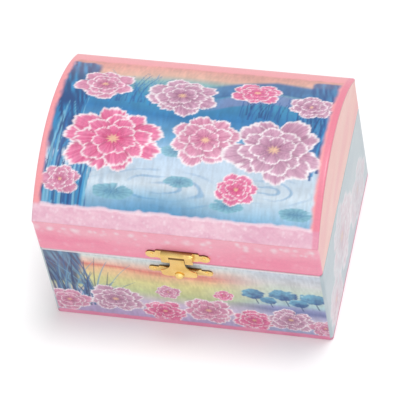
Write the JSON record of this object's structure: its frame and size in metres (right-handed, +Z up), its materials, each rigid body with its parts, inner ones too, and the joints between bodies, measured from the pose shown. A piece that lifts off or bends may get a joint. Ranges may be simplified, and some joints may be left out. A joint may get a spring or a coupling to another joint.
{
  "type": "ballerina jewellery box",
  "caption": "Paper-covered musical jewellery box with a domed hinged lid, brass snap latch, lined trays, mirror and a dancer turned by a wind-up comb movement.",
  "frame": {"origin": "middle of the box's footprint between its front and back walls, on the surface it stands on", "axes": "+X along the width, +Y towards the hinges, +Z up"},
  "size_m": [0.15, 0.1178, 0.1068],
  "materials": {
    "board": "raw pressed board",
    "printed_paper": "satin printed paper",
    "velvet": "flocked velvet",
    "foam": "velvet over foam",
    "satin_card": "satin over card",
    "mirror": "silvered glass",
    "latch_brass": "bright plated",
    "cast_metal": "die cast",
    "brass": "turned brass",
    "steel": "polished",
    "blue_steel": "blued",
    "nylon": "moulded nylon",
    "doll_plastic": "moulded and painted",
    "net": "stiff net",
    "hair_paint": "painted"
  },
  "bodies": {
    "base": {"base_front_board": "board", "base_back_board": "board", "base_left_board": "board", "base_right_board": "board", "bottom_board": "board", "base_paper": "printed_paper", "partition": "board", "deck_cleats": "board", "stage_deck": "board", "stage_lining": "velvet", "tray_lining": "velvet", "tray_divider": "velvet", "ring_foam": "foam", "ring_cushions": "velvet", "latch_base_plate": "latch_brass", "latch_nails_base": "latch_brass", "hinge_leaves_base": "latch_brass", "hinge_screws_base": "latch_brass", "hinge_pins": "latch_brass", "bedplate": "cast_metal", "movement_screws": "steel", "note_comb": "steel", "comb_screws": "steel", "stage_bushing": "latch_brass"},
    "lid": {"lid_front_board": "board", "lid_back_board": "board", "lid_left_end": "board", "lid_right_end": "board", "dome_board": "board", "lid_paper": "printed_paper", "lid_lining": "velvet", "mirror_board": "satin_card", "mirror_glass": "mirror", "mirror_frame": "velvet", "stop_striker": "velvet", "latch_lid_plate": "latch_brass", "latch_nails_lid": "latch_brass", "hasp_pin": "latch_brass", "hinge_leaves_lid": "latch_brass", "hinge_screws_lid": "latch_brass"},
    "hasp": {"latch_hasp": "latch_brass", "hasp_knob": "latch_brass"},
    "key": {"winding_arbor": "steel", "winding_key": "latch_brass"},
    "barrel": {"spring_barrel": "brass", "mainspring": "blue_steel", "drive_spindle": "steel", "turntable": "nylon", "dancer_spring": "steel"},
    "cylinder": {"music_cylinder": "brass", "cylinder_arbor": "steel"},
    "idler": {"idler_arbor": "steel", "idler_wheel": "nylon"},
    "brake": {"worm_spindle": "nylon", "air_brake": "nylon"},
    "dancer": {"dancer_figure": "doll_plastic", "dancer_skirt": "net", "dancer_hair": "hair_paint"},
    "rod": {"stop_rod": "steel"}
  },
  "joints": [
    {"name": "lid_hinge", "type": "hinge", "parent": "base", "child": "lid", "pos_m": [0, 0.05615, 0.06115], "axis": [-1, 0, 0], "range_deg": [0, 100]},
    {"name": "hasp_hinge", "type": "hinge", "parent": "lid", "child": "hasp", "pos_m": [0, -0.0565, 0.06815], "axis": [-1, 0, 0], "range_deg": [0, 100]},
    {"name": "key_wind", "type": "hinge", "parent": "base", "child": "key", "pos_m": [0, 0.024, 0.016], "axis": [0, 0, 1], "continuous": true},
    {"name": "barrel_spin", "type": "hinge", "parent": "base", "child": "barrel", "pos_m": [0, 0.024, 0.0254], "axis": [0, 0, 1], "continuous": true},
    {"name": "cylinder_spin", "type": "hinge", "parent": "base", "child": "cylinder", "pos_m": [0.02, 0.024, 0.0254], "axis": [1, 0, 0], "continuous": true},
    {"name": "idler_spin", "type": "hinge", "parent": "base", "child": "idler", "pos_m": [0.037, 0.0328, 0.0254], "axis": [1, 0, 0], "continuous": true},
    {"name": "brake_spin", "type": "hinge", "parent": "base", "child": "brake", "pos_m": [0.037, 0.039, 0.0254], "axis": [0, 0, 1], "continuous": true},
    {"name": "dancer_sway", "type": "hinge", "parent": "barrel", "child": "dancer", "pos_m": [0, 0.024, 0.0434], "axis": [0, 1, 0], "range_deg": [-10, 10], "stiffness_Nm_per_rad": 0.01, "deforming": ["dancer_spring"]},
    {"name": "stop_slide", "type": "slide", "parent": "base", "child": "rod", "axis": [0, 0, 1], "range_m": [0, 0.0033]}
  ],
  "couplings": [
    {"joint": "cylinder_spin", "follows": "barrel_spin", "ratio": -3},
    {"joint": "idler_spin", "follows": "barrel_spin", "ratio": 10.2},
    {"joint": "brake_spin", "follows": "barrel_spin", "ratio": -81.6},
    {"joint": "stop_slide", "follows": "lid_hinge", "m_per_rad": 0.00189}
  ]
}
